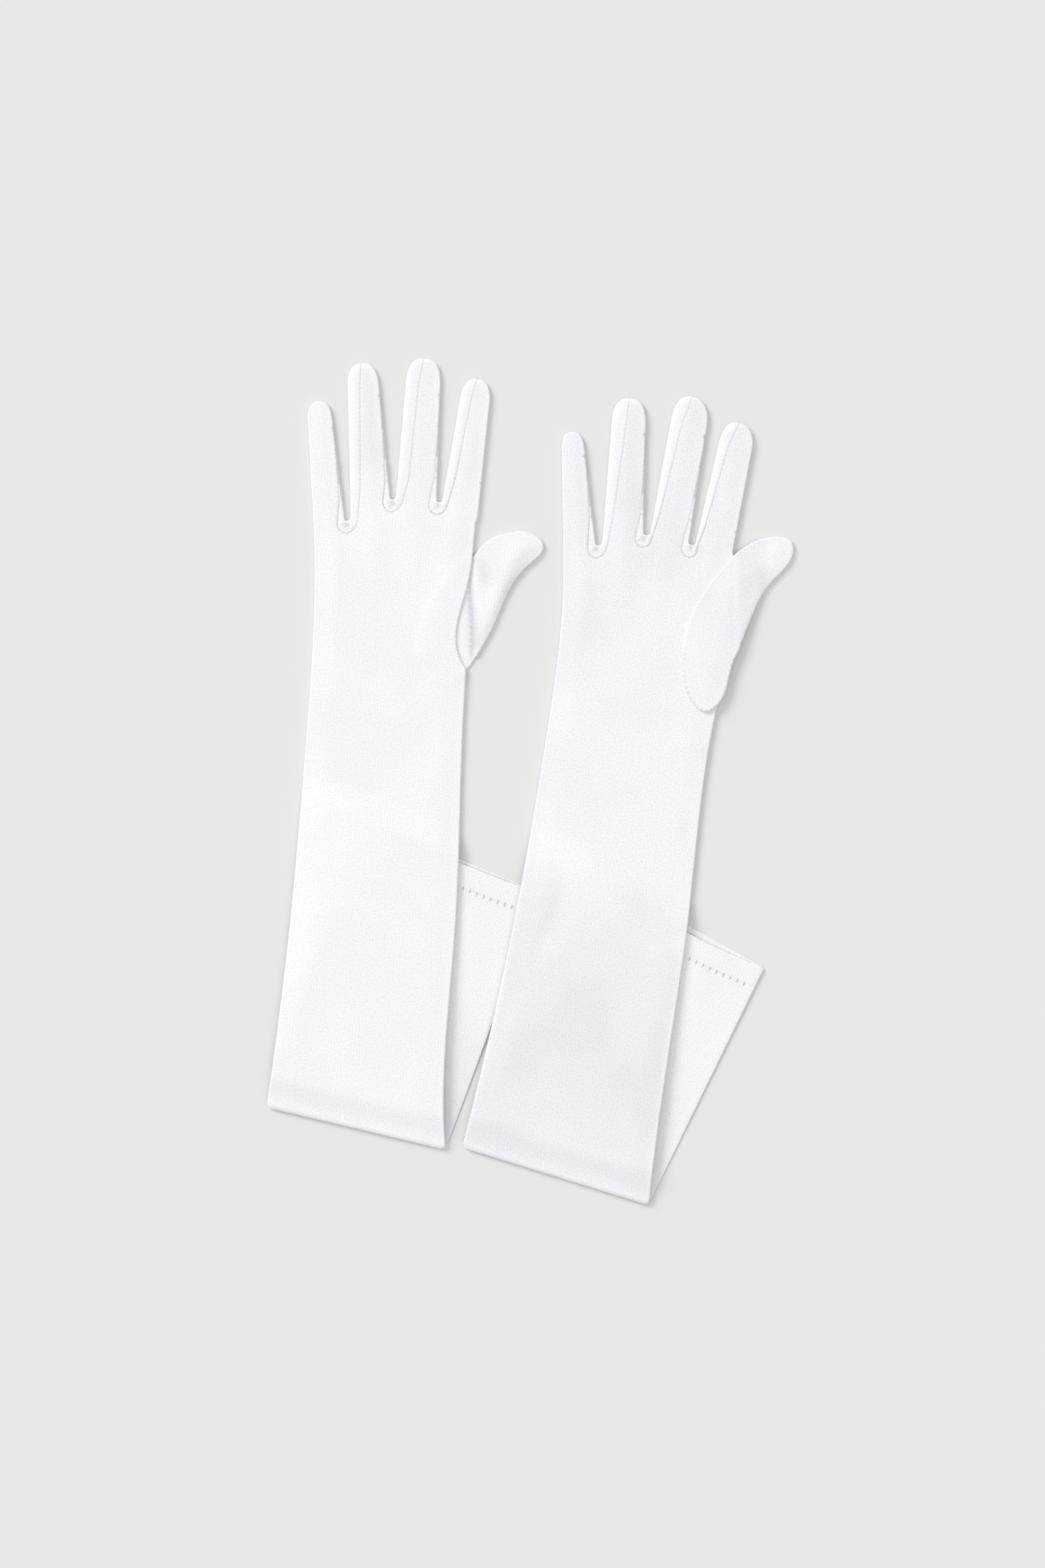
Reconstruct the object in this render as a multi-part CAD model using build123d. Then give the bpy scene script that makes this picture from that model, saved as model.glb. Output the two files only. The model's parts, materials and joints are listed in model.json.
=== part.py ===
from build123d import *
import math
import os

# A pair of long evening gloves, lying flat on a table with the cuff ends folded under.
# Millimetres. X to the right, Y towards the fingertips, Z up, table at Z = 0.
# Each glove is pressed flat, cloth on cloth, except for its cuff, which stands a little open.

# ---- cloth and layers ----
CLOTH = 0.6  # thickness of the satin with its seam allowance
FLAT = 3.0  # thickness of a flattened hand, arm or finger: two layers and the air in them
CUFF_AT_FOLD = 3.6  # height of the cuff tube beside the fold
CUFF_RISE = 3.0 / 145.0  # how fast the cuff tube gets taller towards its mouth
LAYER_GAP = 0.5  # air between the cuff and the arm that lies on it
FOLD_INSET = 0.4  # both sections stop this far short of the fold line
DROP_START = 167.0  # past the cuff's mouth the arm comes down, this far from the fold line
DROP_END = 222.0  # and here it is down on the table
JOINT_GAP = 0.3  # slit between two sections that fold on each other
TALL = 40.0  # taller than anything in the model
WIDE = 300.0  # wider than anything in the model

# ---- fingers ----
KNUCKLE_RISE = 12.0  # a finger folds this far above its root
ROOT_OVERLAP = 9.0  # a finger's root runs this far into the hand
NOSE_SHARE = 0.72  # length of the rounded fingertip over its width
EDGE_STRIP = 2.4  # side strip on the thumb side of a finger, turned under the edge further up

# ---- thumbs ----
THUMB_FLAT = 2.6  # thickness of a flattened thumb
THUMB_BASE_UNDER = 1.5  # thumb base lying under the hand
THUMB_BASE_OVER = 2.0  # thumb base lying on the palm
THUMB_SLOPE_RUN = 15.0  # length over which the upper thumb comes down to the table

# ---- hem stitches ----
HEM = 12.5  # depth of the turned hem
TICK_LENGTH = 1.6
TICK_WIDTH = 0.5
TICK_PROUD = 0.2
TICK_PITCH = 4.1
TICK_TILT = 80.0  # degrees off the line of the hem

# Each finger: root centre, tip, width at the root, width where the fingertip starts to round.
LEFT_FINGERS = {
    "pinky": ((-110.0, 141.0), (-116.0, 208.6), 17.5, 13.6),
    "ring": ((-87.4, 151.6), (-92.2, 229.4), 22.3, 17.4),
    "middle": ((-62.4, 154.4), (-57.8, 232.1), 22.6, 19.2),
    "index": ((-38.0, 153.2), (-28.6, 220.8), 20.4, 16.6),
}
RIGHT_FINGERS = {
    "pinky": ((26.8, 131.6), (22.8, 191.8), 17.6, 12.6),
    "ring": ((50.8, 134.2), (54.6, 210.1), 22.3, 18.8),
    "middle": ((76.2, 133.2), (89.4, 210.9), 21.8, 20.2),
    "index": ((100.4, 127.0), (115.2, 196.8), 21.0, 18.8),
}

# Edges of each hand and arm, from the fold up to the fingers, and the three finger crotches.
# side_strips: width of the strip on the little-finger side, at the root and where the fingertip rounds.
LEFT = {
    "fingers": LEFT_FINGERS,
    "fold": ((-144.4, -178.4), (-46.3, -201.6)),
    "little_side": [(-144.4, -178.4), (-131.0, -72.0), (-123.4, 15.5), (-118.5, 92.0), (-118.5, 136.0)],
    "side_strips": {"ring": (5.6, 6.8), "middle": (6.2, 7.4), "index": (4.8, 6.2)},
    "crotches": [(-99.4, 143.2), (-75.4, 154.8), (-50.2, 153.0)],
    "thumb_side": [
        [(-28.2, 152.0), (-30.4, 136.0), (-32.0, 119.5), (-34.6, 106.0), (-40.6, 79.0), (-34.9, 61.5)],
        [(-34.9, 61.5), (-36.4, 37.5), (-38.2, -12.0), (-41.0, -82.5), (-47.3, -177.0), (-46.3, -201.6)],
    ],
    "cuff_mouth": ((-89.0, -21.7), (5.6, -61.4)),
}
RIGHT = {
    "fingers": RIGHT_FINGERS,
    "fold": ((-37.4, -200.4), (64.8, -232.0)),
    "little_side": [(-37.4, -200.4), (-8.0, -72.0), (8.8, 25.0), (17.2, 92.0), (17.9, 128.0)],
    "side_strips": {"ring": (4.2, 8.2), "middle": (2.6, 6.6), "index": (2.6, 5.6)},
    "crotches": [(37.0, 129.4), (63.0, 135.4), (87.0, 130.0)],
    "thumb_side": [
        [(111.9, 124.6), (109.5, 88.0), (102.6, 42.0)],
        [(102.6, 42.0), (97.4, 15.5), (87.0, -72.0), (73.5, -164.5), (64.8, -232.0)],
    ],
    "cuff_mouth": ((36.3, -51.6), (128.0, -102.4)),
}

# Thumbs: a base sewn into the palm, and a free end that folds across the palm at a straight line.
LEFT_THUMB_X = -30.3
LEFT_THUMB_FREE = [
    (124.4, 67.4),
    [(-24.4, 131.2), (-13.0, 136.2), (3.0, 135.0), (7.4, 129.2), (-1.0, 118.3), (-21.0, 83.5)],
]
LEFT_THUMB_BASE = [(-34.9, 61.5), (-48.0, 55.0), (-58.0, 66.0), (-56.5, 88.0), (-44.0, 112.0)]
RIGHT_THUMB_X = 113.4
RIGHT_THUMB_FREE = [
    (125.8, 70.2),
    [(124.6, 132.2), (134.0, 134.2), (143.2, 131.6), (144.2, 127.0), (131.6, 108.6), (119.6, 86.2)],
]
RIGHT_THUMB_BASE = [
    (109.4, 59.6), (102.6, 42.0), (95.8, 38.1), (88.6, 43.4),
    (83.5, 61.8), (83.6, 72.0), (88.6, 92.0), (98.4, 108.5),
]


def unit(start, end):
    """Direction from start to end in the plane of the table."""
    run = Vector(end[0] - start[0], end[1] - start[1])
    return run.normalized()


def save(shape, name):
    solid = shape.solids()[0] if len(shape.solids()) == 1 else Compound(children=list(shape.solids()))
    solid.label = name
    export_step(solid, f"parts/{name}.step")
    print(f"{name}: {shape.volume:.0f} mm3, {len(shape.solids())} solids")


def closed_face(*edges):
    return make_face(Curve() + list(edges))


def slab(face, bottom, top):
    """Flat face turned into a solid between two heights."""
    return Pos(0, 0, bottom) * extrude(face, top - bottom, dir=(0, 0, 1))


# ---- fold line geometry ----
def fold_frame(glove):
    """Middle of the fold line, its direction, and the direction from it towards the fingers."""
    left, right = glove["fold"]
    along = unit(left, right)
    away = Vector(-along.Y, along.X)
    middle = Vector((left[0] + right[0]) / 2, (left[1] + right[1]) / 2)
    return middle, along, away


def side_profile(glove, points):
    """Prism across the whole glove with the given side view: (distance from the fold line, height)."""
    middle, along, away = fold_frame(glove)
    side = Plane(origin=middle, x_dir=away, z_dir=away.cross(Vector(0, 0, 1)))
    outline = make_face(Polyline(*points, close=True))
    return extrude(side * outline, WIDE, both=True)


def cuff_top(distance):
    return CUFF_AT_FOLD + CUFF_RISE * distance


# ---- fingers ----
def finger_frame(spec):
    root, tip, _, _ = spec
    up = unit(root, tip)
    across = Vector(up.Y, -up.X)
    length = math.dist(root, tip)
    return Vector(*root), up, across, length


def half_width(spec, height):
    """Half the width of a finger at a height above its root."""
    _, _, root_width, nose_width = spec
    _, _, _, length = finger_frame(spec)
    straight = length - NOSE_SHARE * nose_width
    share = height / straight
    return (root_width + (nose_width - root_width) * share) / 2


def finger_point(spec, height, side):
    """Point on a finger's edge: side is -1 on the little-finger side, +1 on the thumb side."""
    root, up, across, _ = finger_frame(spec)
    return root + up * height + across * (side * half_width(spec, height))


def finger_face(spec, start):
    """Outline of a finger from a height above its root to its tip."""
    root, up, _, length = finger_frame(spec)
    nose = length - NOSE_SHARE * spec[3]
    low_left = finger_point(spec, start, -1)
    low_right = finger_point(spec, start, 1)
    nose_left = finger_point(spec, nose, -1)
    nose_right = finger_point(spec, nose, 1)
    tip = root + up * length
    tangents = ((nose_left - low_left).normalized(), (low_right - nose_right).normalized())
    fingertip = Spline(nose_left, tip, nose_right, tangents=tangents)
    return closed_face(
        Line(low_left, nose_left),
        fingertip,
        Line(nose_right, low_right),
        Line(low_right, low_left),
    )


def finger_stub(spec):
    """The part of a finger below its knuckle, which stays with the hand."""
    corners = [
        finger_point(spec, -ROOT_OVERLAP, -1),
        finger_point(spec, KNUCKLE_RISE, -1),
        finger_point(spec, KNUCKLE_RISE, 1),
        finger_point(spec, -ROOT_OVERLAP, 1),
    ]
    return make_face(Polyline(*corners, close=True))


def side_strip(spec, root_width, nose_width):
    """Region on the little-finger side of the seam that runs up to the fingertip."""
    root, up, across, length = finger_frame(spec)
    nose = length - NOSE_SHARE * spec[3]
    outward = across * (-WIDE / 10)
    seam = [
        finger_point(spec, 0, -1) + across * root_width,
        finger_point(spec, nose, -1) + across * nose_width,
        root + up * (length + 1.0),
    ]
    return make_face(Polyline(*seam, seam[2] + outward, seam[0] + outward, close=True))


def edge_strip(spec):
    """Region on the thumb side of the seam that meets the edge just below the fingertip."""
    _, _, across, length = finger_frame(spec)
    nose = length - NOSE_SHARE * spec[3]
    outward = across * (WIDE / 10)
    low = finger_point(spec, 0, 1) - across * EDGE_STRIP
    high = finger_point(spec, nose, 1) + across * 0.3
    return make_face(Polyline(low, high, high + outward, low + outward, close=True))


def make_finger(glove_name, finger, spec, strips):
    """One finger: the stall, cut from the same cloth as the hand, and its side strips."""
    whole = finger_face(spec, KNUCKLE_RISE + JOINT_GAP)
    stall = whole
    for region, neighbour in strips:
        save(slab((whole & region).faces()[0], 0, FLAT), f"{glove_name}_{finger}_strip_by_{neighbour}")
        stall = stall - region
    save(slab(stall.faces()[0], 0, FLAT), f"{glove_name}_{finger}")


def make_fingers(glove_name, glove):
    order = list(glove["fingers"])
    for index, finger in enumerate(order):
        spec = glove["fingers"][finger]
        strips = []
        if index > 0:
            strips.append((side_strip(spec, *glove["side_strips"][finger]), order[index - 1]))
        if index < len(order) - 1:
            strips.append((edge_strip(spec), order[index + 1]))
        make_finger(glove_name, finger, spec, strips)


# ---- hand and arm ----
def hand_face(glove):
    """Outline of the arm, palm and finger roots."""
    little_side = Spline(*glove["little_side"])
    thumb_side = [Spline(*points) for points in glove["thumb_side"]]
    crotches = glove["crotches"]
    across_top = Polyline(glove["little_side"][-1], *crotches, glove["thumb_side"][0][0])
    fold = Line(glove["thumb_side"][-1][-1], glove["little_side"][0])
    palm = closed_face(little_side, across_top, *thumb_side, fold)
    for spec in glove["fingers"].values():
        palm = palm + finger_stub(spec)
    return palm.faces()[0]


def make_hand(glove_name, glove, pocket=None):
    """The arm over the cuff, coming down to the table past the cuff's mouth, and the palm."""
    under = CUFF_AT_FOLD + LAYER_GAP
    crest = under + CUFF_RISE * DROP_START
    profile = side_profile(
        glove,
        [
            (FOLD_INSET, under),
            (DROP_START, crest),
            (DROP_END, 0),
            (2 * WIDE, 0),
            (2 * WIDE, FLAT),
            (DROP_END, FLAT),
            (DROP_START, crest + FLAT),
            (FOLD_INSET, under + FLAT),
        ],
    )
    hand = slab(hand_face(glove), 0, TALL) & profile
    if pocket is not None:
        hand = hand - pocket
    save(hand, f"{glove_name}_hand")


# ---- cuff ----
def cuff_face(glove, inset=0.0, past_mouth=0.0):
    """Outline of the folded-under cuff, or of its inside."""
    fold_left, fold_right = glove["fold"]
    mouth_left, mouth_right = glove["cuff_mouth"]
    along = unit(fold_left, mouth_left)
    across = unit(mouth_left, mouth_right)
    corners = [
        Vector(*fold_left) + across * inset,
        Vector(*mouth_left) + across * inset + along * past_mouth,
        Vector(*mouth_right) - across * inset + along * past_mouth,
        Vector(*fold_right) - across * inset,
    ]
    return make_face(Polyline(*corners, close=True))


def make_cuff(glove_name, glove):
    """Flat tube, open at its mouth and closed where it is pinched at the fold."""
    far = 2 * WIDE
    outside = [(FOLD_INSET, 0), (far, 0), (far, cuff_top(far)), (FOLD_INSET, cuff_top(FOLD_INSET))]
    start = FOLD_INSET + CLOTH
    inside = [
        (start, CLOTH),
        (far, CLOTH),
        (far, cuff_top(far) - CLOTH),
        (start, cuff_top(start) - CLOTH),
    ]
    outer = slab(cuff_face(glove), 0, TALL) & side_profile(glove, outside)
    inner = slab(cuff_face(glove, CLOTH, TALL), 0, TALL) & side_profile(glove, inside)
    save(outer - inner, f"{glove_name}_cuff")


def make_hem_stitches(glove_name, glove, covered):
    """Row of slanting stitches that holds the turned hem, where the arm doesn't cover it."""
    middle, _, away = fold_frame(glove)
    fold_left, _ = glove["fold"]
    mouth_left, mouth_right = glove["cuff_mouth"]
    inward = unit(mouth_left, fold_left)
    across = unit(mouth_left, mouth_right)
    width = math.dist(mouth_left, mouth_right)
    slope = Vector(-away.X * CUFF_RISE, -away.Y * CUFF_RISE, 1).normalized()
    ticks = []
    place = covered + TICK_PITCH
    while place < width - TICK_PITCH:
        spot = Vector(*mouth_left) + across * place + inward * HEM
        distance = (spot - middle).dot(away)
        lie = Plane(origin=(spot.X, spot.Y, cuff_top(distance)), x_dir=across, z_dir=slope)
        tick = Box(TICK_LENGTH, TICK_WIDTH, TICK_PROUD, align=(Align.CENTER, Align.CENTER, Align.MIN))
        ticks.append(lie * Rot(0, 0, TICK_TILT) * tick)
        place += TICK_PITCH
    save(Compound(children=[solid for tick in ticks for solid in tick.solids()]), f"{glove_name}_hem_stitches")


# ---- thumbs ----
def thumb_faces(hinge_x, free, base):
    """Outlines of a thumb's free end and of its base, on either side of its fold line."""
    (high, low), outline = free
    free_face = closed_face(
        Spline((hinge_x + JOINT_GAP, high), *outline, (hinge_x + JOINT_GAP, low)),
        Line((hinge_x + JOINT_GAP, low), (hinge_x + JOINT_GAP, high)),
    )
    base_face = closed_face(
        Spline((hinge_x, low), *base, (hinge_x, high)),
        Line((hinge_x, high), (hinge_x, low)),
    )
    return free_face, base_face


def make_left_thumb():
    """Thumb under the edge of the hand. Returns the room that its base needs under the hand."""
    free_face, base_face = thumb_faces(LEFT_THUMB_X, LEFT_THUMB_FREE, LEFT_THUMB_BASE)
    base = slab(base_face, 0, THUMB_BASE_UNDER)
    save(slab(free_face, 0, THUMB_FLAT), "left_thumb")
    save(base, "left_thumb_base")
    return base


def make_right_thumb():
    """Thumb lying on the palm, its free end sloping down to the table beside the hand."""
    free_face, base_face = thumb_faces(RIGHT_THUMB_X, RIGHT_THUMB_FREE, RIGHT_THUMB_BASE)
    save(slab(base_face, FLAT, FLAT + THUMB_BASE_OVER), "right_thumb_base")
    start = RIGHT_THUMB_X + JOINT_GAP
    end = start + THUMB_SLOPE_RUN
    points = [
        (start, FLAT),
        (end, 0),
        (end + WIDE, 0),
        (end + WIDE, THUMB_FLAT),
        (end, THUMB_FLAT),
        (start, FLAT + THUMB_BASE_OVER),
    ]
    profile = extrude(Plane.XZ * make_face(Polyline(*points, close=True)), WIDE, both=True)
    save(slab(free_face, 0, TALL) & profile, "right_thumb")


# ---- the pair ----
def print_hinges(glove_name, glove):
    middle, along, _ = fold_frame(glove)
    print(f"{glove_name} fold: ({middle.X:.2f}, {middle.Y:.2f}, {CUFF_AT_FOLD + LAYER_GAP / 2:.2f})"
          f" axis ({along.X:.4f}, {along.Y:.4f}, 0)")
    for finger, spec in glove["fingers"].items():
        root, up, across, _ = finger_frame(spec)
        spot = root + up * (KNUCKLE_RISE + JOINT_GAP / 2)
        print(f"{glove_name} {finger}: ({spot.X:.2f}, {spot.Y:.2f}, {FLAT:.2f})"
              f" axis ({across.X:.4f}, {across.Y:.4f}, 0)")


os.makedirs("parts", exist_ok=True)
left_pocket = make_left_thumb()
make_right_thumb()
for glove_name, glove, pocket, covered in (
    ("left", LEFT, left_pocket, 50.0),
    ("right", RIGHT, None, 54.0),
):
    make_cuff(glove_name, glove)
    make_hand(glove_name, glove, pocket)
    make_fingers(glove_name, glove)
    make_hem_stitches(glove_name, glove, covered)
    print_hinges(glove_name, glove)
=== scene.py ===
import json
import math

import bpy
import numpy as np
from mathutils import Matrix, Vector
from mathutils.geometry import delaunay_2d_cdt
from mathutils.kdtree import KDTree


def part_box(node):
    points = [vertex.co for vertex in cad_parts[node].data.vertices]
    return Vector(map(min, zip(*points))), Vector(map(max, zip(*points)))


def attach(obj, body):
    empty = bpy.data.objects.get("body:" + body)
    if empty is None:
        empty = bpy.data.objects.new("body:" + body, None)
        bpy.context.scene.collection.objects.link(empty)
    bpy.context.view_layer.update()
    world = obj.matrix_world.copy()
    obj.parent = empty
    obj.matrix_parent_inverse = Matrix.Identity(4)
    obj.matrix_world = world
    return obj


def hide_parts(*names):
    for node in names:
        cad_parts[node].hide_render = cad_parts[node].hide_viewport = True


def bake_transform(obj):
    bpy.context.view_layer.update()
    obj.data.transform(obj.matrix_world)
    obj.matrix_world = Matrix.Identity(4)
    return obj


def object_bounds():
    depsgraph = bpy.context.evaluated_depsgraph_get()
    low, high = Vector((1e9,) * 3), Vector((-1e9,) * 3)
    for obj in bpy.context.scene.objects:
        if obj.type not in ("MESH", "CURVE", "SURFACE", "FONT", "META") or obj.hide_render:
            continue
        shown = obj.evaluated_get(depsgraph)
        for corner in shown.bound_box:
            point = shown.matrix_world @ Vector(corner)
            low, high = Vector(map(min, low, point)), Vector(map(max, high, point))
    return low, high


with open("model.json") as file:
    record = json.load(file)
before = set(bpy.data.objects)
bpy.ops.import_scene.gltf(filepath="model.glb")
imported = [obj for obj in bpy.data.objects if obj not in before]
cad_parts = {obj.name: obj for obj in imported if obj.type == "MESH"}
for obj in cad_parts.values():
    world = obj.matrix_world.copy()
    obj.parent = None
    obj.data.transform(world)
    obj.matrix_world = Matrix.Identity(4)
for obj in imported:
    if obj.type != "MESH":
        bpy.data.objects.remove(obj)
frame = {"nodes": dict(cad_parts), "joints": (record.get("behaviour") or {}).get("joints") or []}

# A pair of long satin gloves, lying flat with their cuffs folded under.
# Everything is worked out in millimetres, in the frame's axes, and turned into metres when a mesh is made.
MM = 0.001
CAD_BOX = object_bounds()

FINGERS = ("pinky", "ring", "middle", "index")
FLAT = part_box("left_middle")[1][2] / MM  # thickness of a flattened section
TABLE = 0.06  # air between the cloth and the table

# ---- shape of the flattened cloth ----
OUTLINE_STEP = 0.8  # distance between points along an outline
OUTLINE_ROUNDS = 12  # how much an outline's corners are softened
THUMB_ROUNDS = 5
RINGS = (0.15, 0.4, 0.8, 1.4, 2.2, 3.2, 4.4)  # rows of points this far inside an outline
GRID = 2.0  # distance between points away from the outline
TURN = 0.6  # radius of a side edge, where the cloth turns over
EDGE_LEVEL = 0.3  # height of the edge, as a share of the thickness
THUMB_TURN = 0.8
STRIP_TURN = 3.6  # the same on a side strip, which slopes down to the edge
PUFF_SHARE = 0.22  # share of the thickness that is gained slowly, away from the edge
PUFF_RUN = 14.0
SEAM_DEPTH = 0.34
SEAM_WIDTH = 0.26
SEAM_FADE = 22.0  # a seam is deepest at the crotch and fades over this distance
SEAM_ROUNDS = 30  # how much a seam's corners are softened near the fingertip
BEND_ROUNDS = 8  # and round the crotch
PUCKER = 0.07  # small gathers beside a seam
PUCKER_PITCH = 2.6
SEAM_DASH = 3.1  # stitches of the seam round the thumb's base
SEAM_ROWS = (-1.1, -0.4, 0.4, 1.1)  # rows of points beside a seam
FINGER_HALF = 13.0  # no finger is wider than twice this
FINGER_LENGTH = 90.0  # and none is longer than this beyond its fold line
RUN_ON = 15.0  # for distances near the fold, the side edges run on this far beyond their ends
HAND_WAVE = 0.85  # height of the cloth's unevenness
SMALL_WAVE = 0.5  # the same on the cuff and the thumb
HAND_SEED = {"left": 3, "right": 8}
CUFF_SEED = 21
THUMB_SEED = 31

# ---- fold at the forearm ----
DRAPE_PAST_MOUTH = 16.0  # past the cuff's mouth the arm comes down to the table over this distance
DRAPE_PAST_CUFF = 34.0  # the same past the cuff of the glove below
CUFF_ROOM = 1.0  # room for that cuff's waves, hem and stitches
DRAPE_PAST_SIDE = 50.0
CUFF_HEIGHTS = ((0, 1.0), (75, 2.0), (150, 3.0))  # height of the settled cuff at distances from the fold
ARM_LEVEL = 3.5  # height of the arm's under side, where it lies on the cuff
FOLD_LEVEL = 1.9  # and beside the fold, which is pressed flat
PINCH_RUN = 16.0  # the arm comes down to the fold over this distance
PINCH = 0.5  # share of the arm's thickness that is left at the fold
FOLD_ROOM = 3.3  # the roll of the fold takes this much of each section
FOLD_STEPS = 14  # rows of the roll
ACROSS = 76  # points across the arm at the fold, and across the cuff
INNER_REACH = 1.7  # how far the roll's inner cloth stands out, against FOLD_ROOM for its outer cloth
EDGE_REACH = 0.9  # the same at the arm's side edges, for both
CORNER = 3.0  # radius of the fold's corners

# ---- cuff ----
CUFF_ROWS = 74
CUFF_WIDTH = 100.0  # near enough, for the weave and the mouth's corners
CUFF_SHADE_RUN = 100.0  # the painted shade on the cuff fades out this far from the fold
CUFF_EDGE = 0.42  # height of the cuff's side edges, as a share of its height
CUFF_TURN = 34.0  # the cuff's upper cloth arches over this distance from its side edges
HEM = 12.5  # width of the turned hem
HEM_ROWS = (13.1, 12.75, 12.5, 12.25, 11.8, 10.5, 8.0, 5.0, 2.5, 1.0, 0.3)  # rows of points, from the mouth
HEM_STEP = 0.12  # the turned hem is this much thicker
MOUTH_SHIFT = {"left": 1.9, "right": 3.6}  # the upper cloth ends this far short of the under cloth
CUFF_SHADE = {"left": 0.34, "right": 0.14}  # painted shade on the cuff, darkest at the fold
MOUTH_ROWS = (1.0, 1.7, 2.4, 3.1, 3.8, 4.5, 6.0, 9.0, 12.0)  # rows of points inside the mouth
CLOTH = 0.45  # thickness of the cloth, seen at the mouth

# ---- stitches ----
TICK_LENGTH = 2.8
TICK_RADIUS = 0.15
TICK_PITCH = 4.1
TICK_LIFT = 0.24  # how far a stitch lies proud of the cloth
TICK_TILT = math.radians(92)
TICK_SEED = 5

# ---- stage, in metres ----
VIEW_HEIGHT = 0.859  # how much of the table the picture shows from top to bottom
CAMERA_HEIGHT = 3.0
CAMERA_SHIFT = (-0.0042, -0.0015)  # from the middle of the CAD's box
FLOOR_HALF = 6.0


# ================================================================ reading the frame
def joint(name):
    """Place, direction of the axis, and direction across it, in the plane of the table."""
    for entry in frame["joints"]:
        if entry["name"] == name:
            place = np.array(entry["pos_m"][:2]) / MM
            axis = np.array(entry["axis"][:2], float)
            axis /= np.linalg.norm(axis)
            return place, axis, left_of(axis)
    raise KeyError(name)


def facing(name, sign):
    """A CAD node's points, in millimetres, and its faces that look up (sign 1) or down (sign -1)."""
    piece = frame["nodes"][name]
    points = np.array([piece.matrix_world @ vertex.co for vertex in piece.data.vertices]) / MM
    faces = [list(face.vertices) for face in piece.data.polygons if face.normal.z * sign > 0.3]
    return points, faces


def cad_outline(names):
    """The outer boundary, seen from above, of CAD nodes that lie edge to edge, anticlockwise."""
    spots, polygons = [], []
    for name in names:
        points, faces = facing(name, 1)
        for face in faces:
            polygons.append(list(range(len(spots), len(spots) + len(face))))
            spots += [Vector(points[corner, :2]) for corner in face]
    joined = delaunay_2d_cdt(spots, [], polygons, 0, 0.02, True)
    edges = set()
    for face, origins in zip(joined[2], joined[5]):
        if not origins:
            continue
        for edge in zip(face, face[1:] + face[:1]):
            if edge[::-1] in edges:
                edges.discard(edge[::-1])
            else:
                edges.add(edge)
    following = dict(edges)
    best = []
    while following:
        start, spot = following.popitem()
        loop = [start]
        while spot != start and spot in following:
            loop.append(spot)
            spot = following.pop(spot)
        if len(loop) > len(best):
            best = loop
    return np.array([tuple(joined[0][spot]) for spot in best])


def fine_outline(names):
    """The same with closely spaced points."""
    return resample(cad_outline(names), OUTLINE_STEP / 2)


def profile(names, place, across, sign):
    """Height of the CAD's upper (1) or under (-1) side as a function of the distance across a fold line."""
    rows = []
    for name in names:
        points, faces = facing(name, sign)
        used = points[sorted({corner for face in faces for corner in face})]
        rows.append(np.column_stack([(used[:, :2] - place) @ across, used[:, 2]]))
    table = np.vstack(rows)
    table = table[np.lexsort((table[:, 1], table[:, 0]))]
    return lambda distance: np.interp(distance, table[:, 0], table[:, 1])


# ================================================================ plane geometry
def resample(line, step, closed=True):
    """Points evenly spaced along a line."""
    if closed:
        line = np.vstack([line, line[:1]])
    lengths = np.hypot(*np.diff(line, axis=0).T)
    along = np.concatenate([[0], np.cumsum(lengths)])
    count = max(2, int(round(along[-1] / step)))
    places = np.linspace(0, along[-1], count + 1)
    if closed:
        places = places[:-1]
    return np.column_stack([np.interp(places, along, line[:, 0]), np.interp(places, along, line[:, 1])])


def soften(loop, rounds):
    """A closed loop with its corners rounded."""
    for _ in range(rounds):
        loop = (np.roll(loop, 1, 0) + 2 * loop + np.roll(loop, -1, 0)) / 4
    return loop


def soften_line(line, rounds):
    """An open line with its corners rounded and its ends kept."""
    for _ in range(rounds):
        line[1:-1] = (line[:-2] + 2 * line[1:-1] + line[2:]) / 4
    return line


def graft(loop, tip, place, across):
    """The outline of a hand or thumb base, with the section beyond a fold line joined on."""
    tip = resample(tip, 0.5)
    beyond = (tip - place) @ across > 0.6
    while beyond[0] or not beyond[-1]:
        tip, beyond = np.roll(tip, 1, 0), np.roll(beyond, 1)
    chain = tip[beyond]
    first, last = (int(np.hypot(*(loop - end).T).argmin()) for end in (chain[0], chain[-1]))
    loop = np.roll(loop, -last, 0)
    return np.vstack([loop[: (first - last) % len(loop) + 1], chain])


def distance_to(points, line, closed=False):
    """Distance from each point to a line of closely spaced points, and the number of the nearest of them."""
    tree = KDTree(len(line))
    for number, (x, y) in enumerate(line):
        tree.insert((x, y, 0), number)
    tree.balance()
    nearest = np.array([tree.find((x, y, 0))[1] for x, y in points], int)
    gap = np.hypot(*(points - line[nearest]).T)
    for step in (-1, 1):
        other = (nearest + step) % len(line) if closed else np.clip(nearest + step, 0, len(line) - 1)
        run = line[other] - line[nearest]
        share = ((points - line[nearest]) * run).sum(1) / np.maximum((run**2).sum(1), 1e-12)
        foot = line[nearest] + np.clip(share, 0, 1)[:, None] * run
        gap = np.minimum(gap, np.hypot(*(points - foot).T))
    return gap, nearest


def gap_to(points, line, closed=False):
    """Distance from each point to a line."""
    return distance_to(points, line, closed)[0]


def inside(points, loop):
    """Which points lie inside a closed loop."""
    hits = np.zeros(len(points), bool)
    for (ax, ay), (bx, by) in zip(loop, np.roll(loop, -1, 0)):
        if ay == by:
            continue
        crosses = (points[:, 1] < ay) != (points[:, 1] < by)
        hits ^= crosses & (points[:, 0] < ax + (points[:, 1] - ay) * (bx - ax) / (by - ay))
    return hits


def smoothstep(value):
    """Smooth rise from 0 to 1 as the value goes from 0 to 1."""
    value = np.clip(value, 0, 1)
    return value * value * (3 - 2 * value)


def rounded(distance, radius):
    """Quarter-circle rise from 0 at an edge to 1 at the radius."""
    return np.sqrt(np.clip(1 - (1 - np.clip(distance / radius, 0, 1)) ** 2, 0, 1))


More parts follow.
